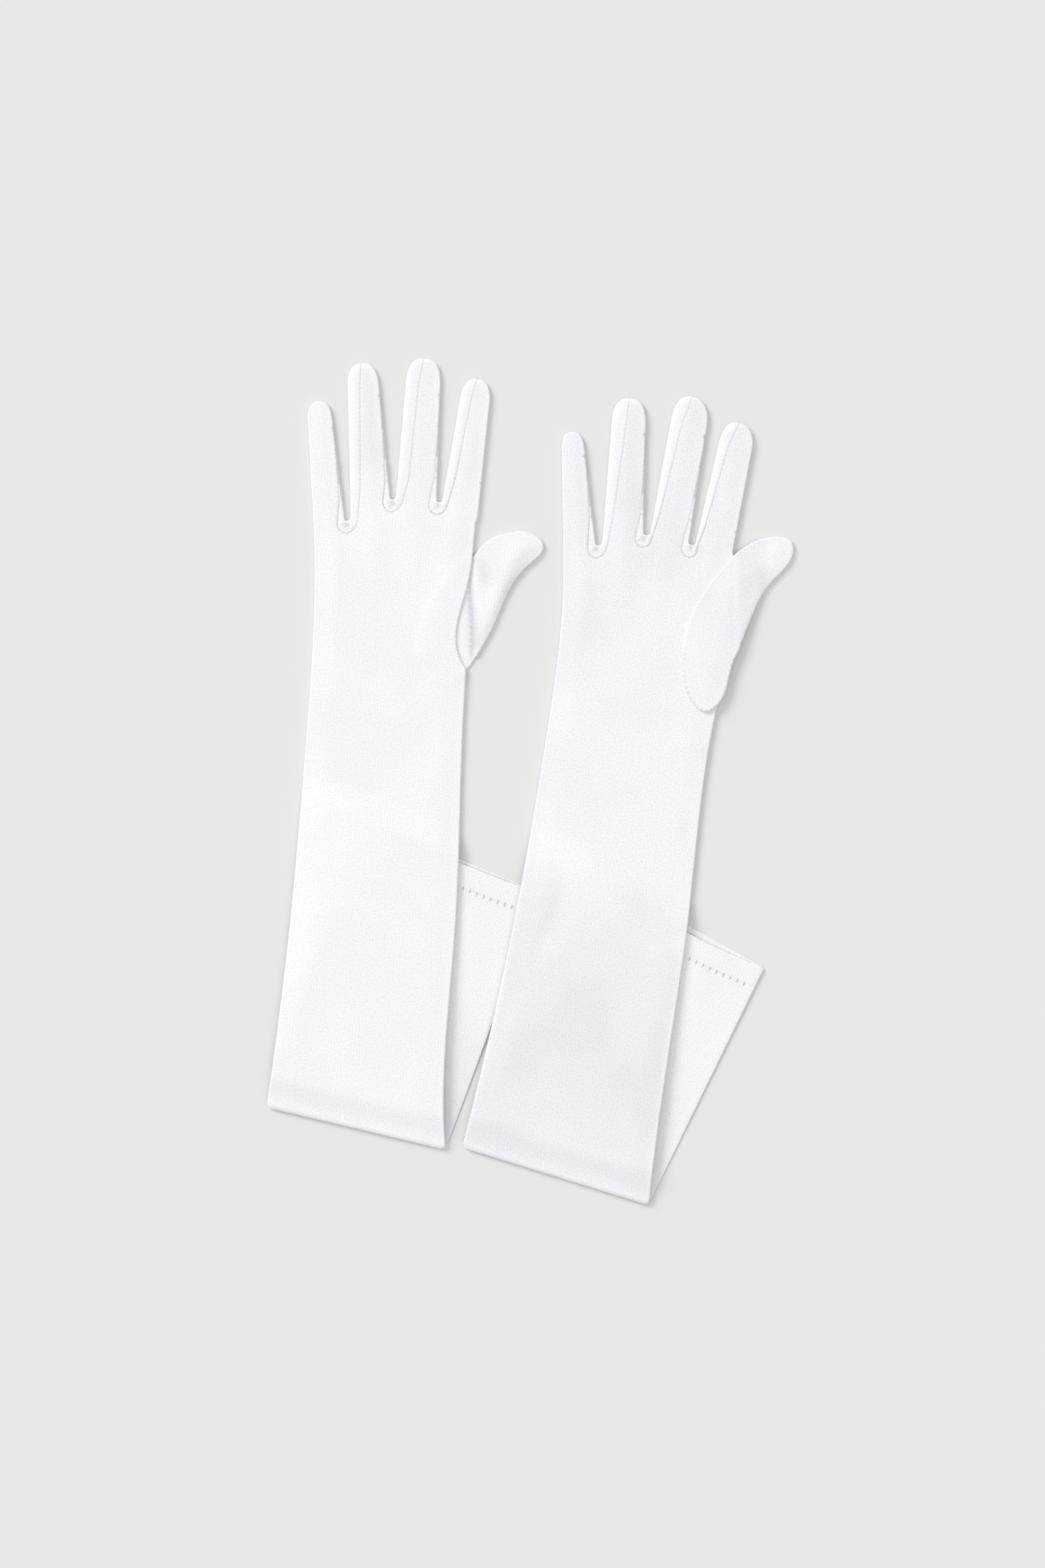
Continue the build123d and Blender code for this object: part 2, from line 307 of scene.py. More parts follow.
def curve(*corners, step=0.6):
    """Smooth line through a few corners (Catmull-Rom)."""
    corners = [np.array(c, float) for c in corners]
    padded = [2 * corners[0] - corners[1], *corners, 2 * corners[-1] - corners[-2]]
    line = []
    for a, b, c, d in zip(padded, padded[1:], padded[2:], padded[3:]):
        square = 2 * a - 5 * b + 4 * c - d
        cube = 3 * b - a - 3 * c + d
        for t in np.linspace(0, 1, 12, endpoint=False):
            line.append((2 * b + (c - a) * t + square * t**2 + cube * t**3) / 2)
    line.append(corners[-1])
    return resample(np.array(line), step, closed=False)


def unit(run):
    """A direction, one unit long."""
    return run / np.hypot(*run)


def left_of(run):
    """A direction, or each of several, turned a quarter turn to the left."""
    return np.stack([-run[..., 1], run[..., 0]], -1)


def sideways_of(runs):
    """The direction to the left of each run, one unit long."""
    return left_of(runs / np.maximum(np.hypot(*runs.T), 1e-9)[:, None])


def beside(line, shift):
    """The line moved sideways."""
    return line + sideways_of(np.gradient(line, axis=0)) * shift


def rings_and_grid(loop, rim):
    """Loose points inside a loop: rows that follow its rim closely, then an even grid."""
    inward = sideways_of(np.roll(rim, -1, 0) - np.roll(rim, 1, 0))
    rings = []
    for number, offset in enumerate(RINGS):
        ring = (rim + inward * offset)[:: 1 + (number > 4)]
        rings.append(ring[gap_to(ring, rim) > 0.9 * offset])
    low, high = loop.min(0), loop.max(0)
    rows = []
    for number, y in enumerate(np.arange(low[1], high[1], GRID * 0.866)):
        xs = np.arange(low[0] + GRID / 2 * (number % 2), high[0], GRID)
        rows.append(np.column_stack([xs, np.full(len(xs), y)]))
    grid = np.vstack(rows)
    grid = grid[inside(grid, loop)]
    grid = grid[gap_to(grid, rim) > RINGS[-1] + 0.7]
    return np.vstack([*rings, grid])


def triangulate(loop, rim, seams, cuts):
    """Triangles that fill a loop, finer near its rim and beside the seams, and split along the cuts."""
    loose = rings_and_grid(loop, rim)
    for seam in seams:
        rows = np.vstack([beside(seam, shift) for shift in SEAM_ROWS])
        rows = rows[gap_to(rows, rim) > 0.3]
        for other in seams:
            rows = rows[gap_to(rows, other) > 0.35]
        loose = np.vstack([loose[gap_to(loose, seam) > 1.6], rows])
    for cut in cuts:
        loose = loose[gap_to(loose, cut) > 0.4]
    loose = loose[inside(loose, loop)]
    loose = loose[gap_to(loose, loop, closed=True) > 0.1]
    points = np.vstack([loop, *seams, *cuts, loose])
    edges = [(i, (i + 1) % len(loop)) for i in range(len(loop))]
    begin = len(loop)
    for line in [*seams, *cuts]:
        edges += [(begin + i, begin + i + 1) for i in range(len(line) - 1)]
        begin += len(line)
    result = delaunay_2d_cdt([Vector(p) for p in points], edges, [], 0, 1e-5, False)
    points = np.array([tuple(p) for p in result[0]])
    faces = np.array(result[2])
    faces = faces[inside(points[faces].mean(1), loop)]
    used, faces = only_used(faces)
    return points[used], faces


# ================================================================ meshes
def only_used(faces):
    """The numbers of the points that the faces use, and the faces with those points numbered afresh."""
    used, renumbered = np.unique(faces, return_inverse=True)
    return used, renumbered.reshape(faces.shape)


def add_object(name, data):
    """A new object in the scene."""
    made = bpy.data.objects.new(name, data)
    bpy.context.scene.collection.objects.link(made)
    return made


def vertex_normals(points, faces):
    """Smooth normals over a whole surface, so that no seam shows where it is cut into pieces."""
    first, second, third = points[faces].transpose(1, 0, 2)
    across = np.cross(second - first, third - first)
    normals = np.zeros_like(points)
    for corner in range(3):
        np.add.at(normals, faces[:, corner], across)
    return normals / np.maximum(np.linalg.norm(normals, axis=1), 1e-12)[:, None]


def make_piece(name, points, faces, normals, flat, material, slot, shade=None):
    """A piece of cloth. flat is each point's place on the unfolded cloth, shade how much painted shade
    darkens it.
    """
    used, faces = only_used(faces)
    mesh = bpy.data.meshes.new(name)
    mesh.from_pydata((points[used] * MM).tolist(), [], faces.tolist())
    mesh.materials.append(material)
    mesh.polygons.foreach_set("use_smooth", [True] * len(mesh.polygons))
    layer = mesh.uv_layers.new(name="cloth")
    corners = np.empty(len(mesh.loops), int)
    mesh.loops.foreach_get("vertex_index", corners)
    layer.data.foreach_set("uv", (flat[used][corners] * MM * 10).ravel())
    if shade is None:
        shade = np.zeros(len(points))
    mesh.attributes.new("shade", "FLOAT", "POINT").data.foreach_set("value", shade[used])
    if normals is not None:
        mesh.normals_split_custom_set_from_vertices(normals[used].tolist())
    piece = add_object(name, mesh)
    return piece


def two_layers(points, faces, upper, under, rim):
    """Closed cloth: an upper and an under layer that share the points on the rim."""
    count = len(points)
    twin = np.arange(count) + count
    twin[rim] = np.arange(count)[rim]
    both = np.vstack([np.column_stack([points, upper]), np.column_stack([points, under])])
    below = twin[faces][:, ::-1]
    return both, np.vstack([faces, below])


def tube(layers, orders):
    """A flattened open tube: two grids of points, upper and under, that share their side edges.

    A cell's corners are 0 to 3, anticlockwise from its first point. Each layer's order says which way round
    they go, and the cell is split from the first of them to the third.
    """
    rows, count = layers[0].shape[:2]
    points = np.vstack([layer.reshape(-1, 3) for layer in layers])
    numbers = np.arange(len(points)).reshape(2, rows, count)
    numbers[1, :, [0, -1]] = numbers[0, :, [0, -1]]
    faces = []
    for grid, order in zip(numbers, orders):
        corners = np.stack([grid[:-1, :-1], grid[:-1, 1:], grid[1:, 1:], grid[1:, :-1]], -1)
        cells = corners.reshape(-1, 4)[:, order]
        faces.append(np.stack([cells[:, [0, 1, 2]], cells[:, [0, 2, 3]]], 1).reshape(-1, 3))
    return points, np.vstack(faces)


def undulation(points, seed):
    """Low, broad unevenness of cloth that has been smoothed flat by hand."""
    random = np.random.default_rng(seed)
    height = np.zeros(len(points))
    for _ in range(7):
        angle = random.uniform(-0.9, 0.9)
        length = random.uniform(38, 120)
        shift = random.uniform(0, 2 * math.pi)
        way = np.array([math.cos(angle), math.sin(angle)])
        height += random.uniform(0.3, 1.0) * np.sin(2 * math.pi * (points @ way) / length + shift)
    return height / 7


def ridge(points, start, end, width, height):
    """A soft fold from start to end that fades at both ends."""
    start, end = np.array(start, float), np.array(end, float)
    run = end - start
    share = ((points - start) @ run) / (run @ run)
    off = (points - start - share[:, None] * run) @ left_of(run) / np.hypot(*run)
    fade = np.sin(np.pi * np.clip(share, 0, 1)) ** 0.8
    return height * fade * np.exp(-((off / width) ** 2))


# ================================================================ materials
def shader(name):
    """A new material, its node tree and its shader node."""
    material = bpy.data.materials.new(name)
    material.use_nodes = True
    tree = material.node_tree
    return material, tree, tree.nodes["Principled BSDF"]


def node(tree, kind, **values):
    """A new node, with the given inputs and settings."""
    made = tree.nodes.new(kind)
    for key, value in values.items():
        if key in made.inputs:
            made.inputs[key].default_value = value
        else:
            setattr(made, key, value)
    return made


def map_range(tree, value, read, give):
    """The value's range read, turned into the range give."""
    made = node(tree, "ShaderNodeMapRange")
    for key, number in zip(("From Min", "From Max", "To Min", "To Max"), (*read, *give)):
        made.inputs[key].default_value = number
    tree.links.new(value, made.inputs["Value"])
    return made.outputs["Result"]


def mix(tree, first, second, factor, blend="MIX"):
    """Two colours mixed. The first is a colour, or another node's output."""
    made = node(tree, "ShaderNodeMix", data_type="RGBA", blend_type=blend)
    if isinstance(first, tuple):
        made.inputs["A"].default_value = (*first, 1)
    else:
        tree.links.new(first, made.inputs["A"])
    made.inputs["B"].default_value = (*second, 1)
    tree.links.new(factor, made.inputs["Factor"])
    return made.outputs["Result"]


def bump(tree, height, strength, distance, under=None):
    """The relief of a texture, on top of another relief if there is one."""
    made = node(tree, "ShaderNodeBump", Strength=strength, Distance=distance)
    tree.links.new(height, made.inputs["Height"])
    if under is not None:
        tree.links.new(under, made.inputs["Normal"])
    return made.outputs["Normal"]


def satin(name, white, darker_tone, speckles, sheen):
    """White stretch satin: fine ribs along the arm, a sparkling grain, and soft bluish patches."""
    material, tree, principled = shader(name)
    link = tree.links.new
    cloth = node(tree, "ShaderNodeUVMap", uv_map="cloth")
    # UV units are tenths of a metre, so a scale of 100 gives one unit to the millimetre
    millimetres = node(tree, "ShaderNodeMapping", Scale=(100, 100, 100))
    link(cloth.outputs["UV"], millimetres.inputs["Vector"])
    patches = node(tree, "ShaderNodeTexNoise", Scale=0.018, Detail=3.0, Roughness=0.5)
    grain = node(tree, "ShaderNodeTexNoise", Scale=1.1, Detail=2.0, Roughness=0.6)
    ribs = node(tree, "ShaderNodeTexWave", Scale=0.2, Distortion=0.5, Detail=1.0, bands_direction="X")
    weft = node(tree, "ShaderNodeTexWave", Scale=0.9, Distortion=0.4, Detail=1.0, bands_direction="Y")
    for texture in (patches, grain, ribs, weft):
        link(millimetres.outputs["Vector"], texture.inputs["Vector"])
    grain = grain.outputs["Fac"]

    colour = mix(tree, white, darker_tone, map_range(tree, patches.outputs["Fac"], (0.40, 0.70), (0, 1)))
    dark_grain = map_range(tree, grain, (0.55, 0.32), (0, 1))
    colour = mix(tree, colour, (speckles, speckles, speckles + 0.01), dark_grain, "MULTIPLY")
    # painted shade: the cloth is drawn darker and bluer in seams, tucks and the cuff's mouth, and over broad
    # stretches of the gloves
    shade = node(tree, "ShaderNodeAttribute", attribute_name="shade")
    colour = mix(tree, colour, (0.66, 0.66, 0.71), shade.outputs["Fac"], "MULTIPLY")
    relief = bump(tree, ribs.outputs["Fac"], 0.16, 0.0002)
    relief = bump(tree, weft.outputs["Fac"], 0.06, 0.0001, relief)
    relief = bump(tree, grain, 0.35, 0.0003, relief)

    link(colour, principled.inputs["Base Color"])
    link(relief, principled.inputs["Normal"])
    link(map_range(tree, grain, (0, 1), (0.36, 0.58)), principled.inputs["Roughness"])
    principled.inputs["Sheen Weight"].default_value = sheen
    principled.inputs["Sheen Roughness"].default_value = 0.35
    principled.inputs["Specular IOR Level"].default_value = 0.35
    return material


def thread_material():
    """Twisted sewing thread, drawn grey and slightly blue: painted shade on thread that is white."""
    material, tree, principled = shader("thread")
    cloth = node(tree, "ShaderNodeUVMap", uv_map="cloth")
    twist = node(tree, "ShaderNodeTexWave", Scale=30.0, Distortion=0.2, bands_direction="DIAGONAL")
    tree.links.new(cloth.outputs["UV"], twist.inputs["Vector"])
    strands = twist.outputs["Fac"]
    colour = mix(tree, (0.34, 0.34, 0.41), (0.50, 0.50, 0.57), strands)
    tree.links.new(colour, principled.inputs["Base Color"])
    tree.links.new(bump(tree, strands, 0.4, 0.0001), principled.inputs["Normal"])
    principled.inputs["Roughness"].default_value = 0.5
    return material


# the left glove shows its back and the right one its palm; the two satins are lit and shaded copies of one
# cloth: painted shade makes the right glove darker, and the lighter copy also serves both cuffs
BRIGHT = satin("satin_lit_copy", (0.928, 0.925, 0.930), (0.900, 0.895, 0.910), 0.88, 0.25)
SATIN_SHADED = satin("satin_shaded_copy", (0.912, 0.905, 0.922), (0.868, 0.860, 0.884), 0.87, 0.25)
UPPER_FACE = {"left": BRIGHT, "right": SATIN_SHADED}
# a slightly lighter copy of the satin: painted light on the side strips
STRIP_SATIN = satin("side_strip_satin", (0.935, 0.932, 0.938), (0.900, 0.895, 0.912), 0.89, 0.2)
THREAD = thread_material()


# ================================================================ one glove
class Glove:
    """Places and outlines of one glove, read from the frame, and the glove it lies on, if any."""

    def __init__(self, side, below=None):
        self.side = side
        self.below = below
        self.fold, self.along, self.away = joint(f"{side}_arm_fold")
        self.knuckles = {finger: joint(f"{side}_{finger}_bend") for finger in FINGERS}
        self.strips = self.find_strips()
        self.read_outline()
        self.read_cuff()

    def body(self, section):
        return f"{self.side}_{section}_section"

    def away_from_fold(self, points):
        return (points - self.fold) @ self.away

    def find_strips(self):
        """Outlines of the side strips: {(finger, neighbour): loop}."""
        found = {}
        for finger in FINGERS:
            for neighbour in FINGERS:
                name = f"{self.side}_{finger}_strip_by_{neighbour}"
                if name in frame["nodes"]:
                    found[finger, neighbour] = fine_outline([name])
        return found

    def finger_nodes(self, finger):
        strips = [f"{self.side}_{a}_strip_by_{b}" for a, b in self.strips if a == finger]
        return [f"{self.side}_{finger}", *strips]

    def read_outline(self):
        """The whole glove's outline, open where it meets the fold, and its points across the fold."""
        loop = cad_outline([f"{self.side}_hand"])
        for finger in FINGERS:
            place, _, across = self.knuckles[finger]
            loop = graft(loop, cad_outline(self.finger_nodes(finger)), place, across)
        loop = soften(resample(loop, OUTLINE_STEP / 2), OUTLINE_ROUNDS)
        distance = self.away_from_fold(loop)
        beyond = distance > FOLD_ROOM
        while beyond[0] or not beyond[-1]:
            loop, beyond = np.roll(loop, 1, 0), np.roll(beyond, 1)
        chain = loop[beyond]
        right, left = self.reach_fold(chain[0], chain[4]), self.reach_fold(chain[-1], chain[-5])
        self.rim = resample(np.vstack([right, chain, left]), OUTLINE_STEP, closed=False)
        self.fold_line = left + (right - left) * spread_across()[:, None]
        self.loop = np.vstack([self.rim, self.fold_line[1:-1]])
        before = right + unit(right - self.rim[3]) * RUN_ON
        beyond_end = left + unit(left - self.rim[-4]) * RUN_ON
        self.long_rim = np.vstack([before, self.rim, beyond_end])

    def reach_fold(self, near, far):
        """The point where an edge, running on from far through near, reaches the roll of the fold."""
        a, b = self.away_from_fold(far), self.away_from_fold(near)
        return far + (near - far) * (a - FOLD_ROOM) / (a - b)

    def read_cuff(self):
        """The cuff's corners, where it leaves the roll of the fold and at its mouth."""
        points = cad_outline([f"{self.side}_cuff"])

        def corner(out, right):
            return points[(points @ (self.away * out + self.along * right * 0.5)).argmax()]

        fold = corner(-1, -1), corner(-1, 1)
        self.cuff_end = corner(1, -1), corner(1, 1)
        self.cuff_start = [self.reach_fold(f, m) for f, m in zip(fold, self.cuff_end)]
        sides = [np.hypot(*(end - start)) for start, end in zip(self.cuff_start, self.cuff_end)]
        self.cuff_length = sum(sides) / 2


def spread_across():
    """Shares of the width from 0 to 1, closer together near both edges."""
    t = np.linspace(0, 1, ACROSS + 1)
    return t - 0.72 * np.sin(2 * math.pi * t) / (2 * math.pi)


def seam_line(glove, finger, neighbour):
    """The seam between a finger and its side strip, from the fold line at its root to the fingertip."""
    place, _, across = glove.knuckles[finger]
    strip = glove.strips[finger, neighbour]
    strip = strip[np.argsort((strip - place) @ across)]
    whole = fine_outline(glove.finger_nodes(finger))
    inner = strip[gap_to(strip, whole, closed=True) > 0.5]
    root = inner[0] - across * ((inner[0] - place) @ across)
    line = resample(np.vstack([root, inner, strip[-1]]), 0.6, closed=False)
    return soften_line(line, SEAM_ROUNDS)


def finger_seams(glove):
    """Seams from fingertip to fingertip: (lower finger, upper finger, seam, crotch, way up, way across)."""
    found = []
    for lower, upper in zip(FINGERS, FINGERS[1:]):
        line_a, line_b = seam_line(glove, lower, upper), seam_line(glove, upper, lower)
        root_a, root_b = line_a[0], line_b[0]
        _, _, up = glove.knuckles[upper]
        crotch = crotch_of(glove, (root_a + root_b) / 2, up)
        sideways = -left_of(up)
        bend = curve(
            root_a,
            crotch - sideways * 5.2 - up * 1.0,
            crotch - sideways * 4.4 - up * 4.9,
            crotch - sideways * 0.7 - up * 7.4,
            crotch + sideways * 3.2 - up * 5.2,
            crotch + sideways * (0.66 * ((root_b - crotch) @ sideways)) - up * 0.8,
            root_b,
        )
        seam = np.vstack([line_a[::-1], bend[1:-1], line_b])
        seam = soften_line(resample(seam, 0.6, closed=False), BEND_ROUNDS)
        found.append((lower, upper, seam, crotch, up, sideways))
    return found


def crotch_of(glove, near, up):
    """The lowest point of the outline between two fingers."""
    close = glove.rim[np.hypot(*(glove.rim - near).T) < 22]
    between = close[np.abs((close - near) @ left_of(up)) < 5]
    return between[((between - near) @ up).argmin()]


def add_hand(glove):
    """The arm, hand, fingers and side strips: one continuous cloth surface, cut into its pieces."""
    side = glove.side
    crotches = finger_seams(glove)
    seams = [found[2] for found in crotches]
    points, faces = triangulate(glove.loop, glove.rim, seams, fold_lines(glove))
    upper, under, rim = hand_heights(glove, points, crotches)
    solid, both = two_layers(points, faces, upper, under, rim)
    shade = np.tile(hand_shade(glove, points, crotches), 2)
    normals = vertex_normals(solid, both)
    flat = along_glove(glove, solid[:, :2])
    owner = owners(glove, solid[both].mean(1)[:, :2], crotches)
    pieces = {}
    for label in sorted(set(owner)):
        name, cad_node, section = hand_part(side, label)
        material, slot = STRIP_SATIN, "side_strip_satin"
        if label.startswith(("hand", "finger")):
            material, slot = UPPER_FACE[side], "satin"
        piece = make_piece(name, solid, both[owner == label], normals, flat, material, slot, shade)
        if section == "hand":
            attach(piece, glove.body("hand"))
        else:
            bend_with(piece, glove, section)
        if cad_node:
            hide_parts(cad_node)
        pieces[label] = piece
    hand = pieces.pop("hand")
    return hand, list(pieces.values()), solid


def fold_lines(glove):
    """The line across each finger where it bends, from edge to edge."""
    lines = []
    for finger in FINGERS:
        place, axis, _ = glove.knuckles[finger]
        ends = distance_along(glove.rim, place, axis, FINGER_HALF)
        lines.append(np.linspace(place + axis * ends[0], place + axis * ends[1], 24))
    return lines


def owners(glove, centres, crotches):
    """Which part of the hand each face belongs to."""
    owner = np.full(len(centres), "hand", dtype=object)
    beyond = {}
    for finger in FINGERS:
        place, axis, across = glove.knuckles[finger]
        out, aside = (centres - place) @ across, np.abs((centres - place) @ axis)
        beyond[finger] = (out > 0) & (aside < FINGER_HALF + 0.5) & (out < FINGER_LENGTH)
        owner[beyond[finger]] = f"finger {finger}"
    for lower, upper, seam, _, up, _ in crotches:
        rise = max((seam[-1] - seam[0]) @ up, 0) + 6
        within = inside(centres, np.vstack([seam, seam[-1] + up * 6, seam[0] + up * rise]))
        owner[within & (owner == "hand")] = f"crotch {lower} {upper}"
        owner[within & beyond[lower]] = f"strip {lower} {upper}"
        owner[within & beyond[upper]] = f"strip {upper} {lower}"
    return owner


def hand_part(side, label):
    """The name of a part of the hand, the CAD node that it replaces, and the section that it belongs to."""
    kind, *fingers = label.split()
    if kind == "hand":
        return f"{side}_hand_cloth", f"{side}_hand", "hand"
    if kind == "crotch":
        return f"{side}_fourchette_bend_{fingers[0]}_{fingers[1]}", None, "hand"
    if kind == "finger":
        return f"{side}_{fingers[0]}_stall", f"{side}_{fingers[0]}", fingers[0]
    name = f"{side}_{fingers[0]}_fourchette_by_{fingers[1]}"
    return name, f"{side}_{fingers[0]}_strip_by_{fingers[1]}", fingers[0]


def bend_with(piece, glove, section):
    """Bakes the transform of a piece beyond a finger's or thumb's fold line into its mesh."""
    glove.body("hand")
    glove.body(section)
    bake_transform(piece)


def hand_shade(glove, points, crotches):
    """Painted shade: how much darker the cloth is drawn in its seams, in the tucks at the crotches, and
    broadly.
    """
    shade = seam_relief(points, crotches)[0]
    for *_, crotch, up, sideways in crotches:
        shade = np.maximum(shade, ridge(points, *tuck(crotch, up, sideways), 0.6, 0.8))
    return shade + broad_shade(glove, points)


def distance_along(rim, place, axis, half):
    """How far a fold line runs each way from its middle before it meets the outline."""
    steps = np.linspace(0, half, 261)
    reach = []
    for sign in (-1, 1):
        gaps = gap_to(place + axis * (sign * steps)[:, None], rim)
        reach.append(sign * (steps[gaps.argmin()] + 0.15))
    return reach


def along_glove(glove, points):
    """Places on the unfolded cloth: across the glove, and along it from the fold."""
    place, _, _ = glove.knuckles["middle"]
    way = unit(place - glove.fold)
    away = points - glove.fold
    return np.column_stack([away @ -left_of(way), away @ way])


def seam_relief(points, crotches):
    """The groove along each seam, and the small gathers beside it."""
    groove, pucker = np.zeros(len(points)), np.zeros(len(points))
    for _, _, line, crotch, _, _ in crotches:
        gap, nearest = distance_to(points, line)
        along = np.concatenate([[0], np.cumsum(np.hypot(*np.diff(line, axis=0).T))])
        lowest = along[np.hypot(*(line - crotch).T).argmin()]
        along = along[nearest]
        depth = 0.6 + 0.4 * np.exp(-(((along - lowest) / SEAM_FADE) ** 2))
        groove = np.maximum(groove, depth * np.exp(-((gap / SEAM_WIDTH) ** 2)))
        pucker += PUCKER * np.cos(2 * math.pi * along / PUCKER_PITCH) * np.exp(-((gap / 1.6) ** 2))
    return groove, pucker


def broad_shade(glove, points):
    """Painted shade over broad parts of a glove, fading to none near its edges, which are left lighter."""
    gap = gap_to(points, glove.long_rim)
    place, across, up = glove.knuckles["middle"]
    above_knuckles = smoothstep(((points - place) @ up + 18) / 30)
    if glove.side == "left":
        past_pinky = smoothstep(((points - place) @ across + 40) / 6)
        return (0.03 + 0.09 * above_knuckles * past_pinky) * smoothstep(gap / 5)
    palm = smoothstep(((points - place) @ up + 105) / 40)
    low_arm = smoothstep((190 - glove.away_from_fold(points)) / 110)
    low_arm = low_arm * (0.4 + 0.6 * smoothstep(glove.away_from_fold(points) / 60))
    return (0.08 * palm + 0.22 * low_arm) * smoothstep(gap / 4)


def tuck(crotch, up, sideways):
    """The small deep fold in the side strip below a crotch."""
    return crotch - up * 0.2 + sideways * 1.6, crotch - up * 4.0 - sideways * 1.6


def crotch_puckers(points, crotches):
    """The side strip bunches up where it is folded round each crotch."""
    height = np.zeros(len(points))
    for _, _, _, crotch, up, sideways in crotches:
        right_top, right_end = crotch + up * 0.8 + sideways * 2.4, crotch - up * 5.6 + sideways * 0.6
        left_top, left_end = crotch + up * 0.4 - sideways * 1.8, crotch - up * 4.8 - sideways * 3.2
        height += ridge(points, *tuck(crotch, up, sideways), 0.6, -0.9)
        height += ridge(points, right_top, right_end, 1.0, 0.5)
        height += ridge(points, left_top, left_end, 1.0, 0.4)
    return height


def hand_heights(glove, points, crotches):
    """Heights of the upper and under cloth at each point, and which points lie on the rim."""
    gap, nearest = distance_to(points, glove.long_rim)
    rim = gap_to(points, glove.rim) < 1e-3
    turn = strip_turn(glove)[nearest]
    shape = (1 - PUFF_SHARE) * rounded(gap, turn) + PUFF_SHARE * smoothstep(gap / PUFF_RUN)
    from_fold = glove.away_from_fold(points)
    pinch = PINCH + (1 - PINCH) * smoothstep((from_fold - FOLD_ROOM) / PINCH_RUN)
    thick = (FLAT - 2 * TABLE) * pinch
    edge = support(glove, points) + TABLE + EDGE_LEVEL * thick
    groove, pucker = seam_relief(points, crotches)
    body = smoothstep(gap / 12)
    near_fold = smoothstep((from_fold - FOLD_ROOM) / 14)
    waves = undulation(points, HAND_SEED[glove.side]) * HAND_WAVE * body * near_fold
    waves = waves + creases(glove, points) * smoothstep(gap / 5) * near_fold
    small = crotch_puckers(points, crotches) + pucker - SEAM_DEPTH * groove
    upper = edge + (1 - EDGE_LEVEL) * thick * shape + waves + small * smoothstep(gap / 1.2)
    under = edge - EDGE_LEVEL * thick * shape + 0.4 * np.maximum(waves, 0)
    under = under + 0.5 * SEAM_DEPTH * groove * smoothstep(gap / 1.2)
    upper, under, edge = over_thumb(glove, points, upper, under, edge)
    upper = np.where(rim, edge, upper)
    under = np.where(rim, edge, np.minimum(under, upper - 0.1))
    return upper, np.maximum(under, TABLE), rim


def support(glove, points):
    """Height of what the arm lies on: the cuff, then a slope down to the table past the cuff's edges."""
    (start_l, start_r), (end_l, end_r) = glove.cuff_start, glove.cuff_end
    past_mouth = past(points, end_l, end_r)
    past_side = np.maximum(past(points, start_l, end_l), past(points, end_r, start_r))
    share = (1 - smoothstep(past_mouth / DRAPE_PAST_MOUTH)) * (1 - smoothstep(past_side / DRAPE_PAST_SIDE))
    pinch = smoothstep((glove.away_from_fold(points) - FOLD_ROOM) / PINCH_RUN)
    level = FOLD_LEVEL + (ARM_LEVEL * share - FOLD_LEVEL) * pinch
    if glove.below is None:
        return level
    lift = clear_of_cuff(glove.below, points) - level
    return level + (lift + np.sqrt(lift**2 + 0.2)) / 2


def clear_of_cuff(below, points):
    """Height that clears the cuff of the glove below, coming down to the table past its edges."""
    (start_l, start_r), (end_l, end_r) = below.cuff_start, below.cuff_end
    edge = resample(np.array([start_l, start_r, end_r, end_l]), OUTLINE_STEP)
    gap = np.where(inside(points, edge), 0, gap_to(points, edge, closed=True))
    high = np.interp(below.away_from_fold(points), *zip(*CUFF_HEIGHTS)) + CUFF_ROOM
    return high * (1 - smoothstep((gap - 1.5) / DRAPE_PAST_CUFF))


def past(points, start, end):
    """How far points lie to the left of the line from start to end."""
    return np.maximum((points - start) @ left_of(unit(end - start)), 0)


def strip_turn(glove):
    """Radius of the edge at each point of the rim: wide where a side strip slopes down to it."""
    flagged = np.zeros(len(glove.long_rim))
    for (finger, neighbour), loop in glove.strips.items():
        if FINGERS.index(neighbour) < FINGERS.index(finger):
            flagged = np.maximum(flagged, gap_to(glove.long_rim, loop, closed=True) < 0.6)
    window = np.ones(9) / 9
    flagged = np.convolve(flagged, window, mode="same")
    return TURN + (STRIP_TURN - TURN) * flagged


def creases(glove, points):
    """Soft folds: where the arm passes over the cuff's mouth, at the wrist and below the fingers."""
    mouth_left, mouth_right = glove.cuff_end
    height = ridge(points, mouth_left - (mouth_right - mouth_left) * 0.1, mouth_right, 3.2, 0.30)
    wrist = glove.fold + glove.away * 255
    across, away = glove.along * 42, glove.away
    height += ridge(points, wrist - across, wrist + across * 0.4 + away * 22, 6.0, 0.28)
    height += ridge(points, wrist + across * 0.9 - away * 16, wrist - across * 0.2 - away * 4, 5.0, 0.30)
    for finger in FINGERS:
        place, _, up = glove.knuckles[finger]
        height += ridge(points, place - up * 16, place - up * 62, 6.0, 0.22)
    return height


def over_thumb(glove, points, upper, under, edge):
    """On the palm-down glove the hand lies on the thumb's base."""
    base = fine_outline([f"{glove.side}_thumb_base"])
    low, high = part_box(f"{glove.side}_thumb_base")
    if low[2] > 0.001:
        return upper, under, edge
    gap = gap_to(points, base, closed=True)
    gap = np.where(inside(points, base), -gap, gap)
    share = smoothstep(1 - gap / 5.0)
    room = high[2] / MM + 0.15
    return upper + 0.3 * share, np.maximum(under, room * share), np.maximum(edge, (room + 0.1) * share)


# ================================================================ cuff and fold
def cuff_section(glove, width_shares, distance):
    """Heights of the cuff's upper and under cloth across its width."""
    width = np.hypot(*(glove.cuff_start[1] - glove.cuff_start[0]))
    gap = np.minimum(width_shares, 1 - width_shares) * width
    high = np.interp(distance, *zip(*CUFF_HEIGHTS))
    edge = CUFF_EDGE * high
    upper = edge + (high - edge) * (0.25 * rounded(gap, 2.5) + 0.75 * smoothstep(gap / CUFF_TURN))
    under = edge - (edge - TABLE) * rounded(gap, 2.6)
    return upper, under


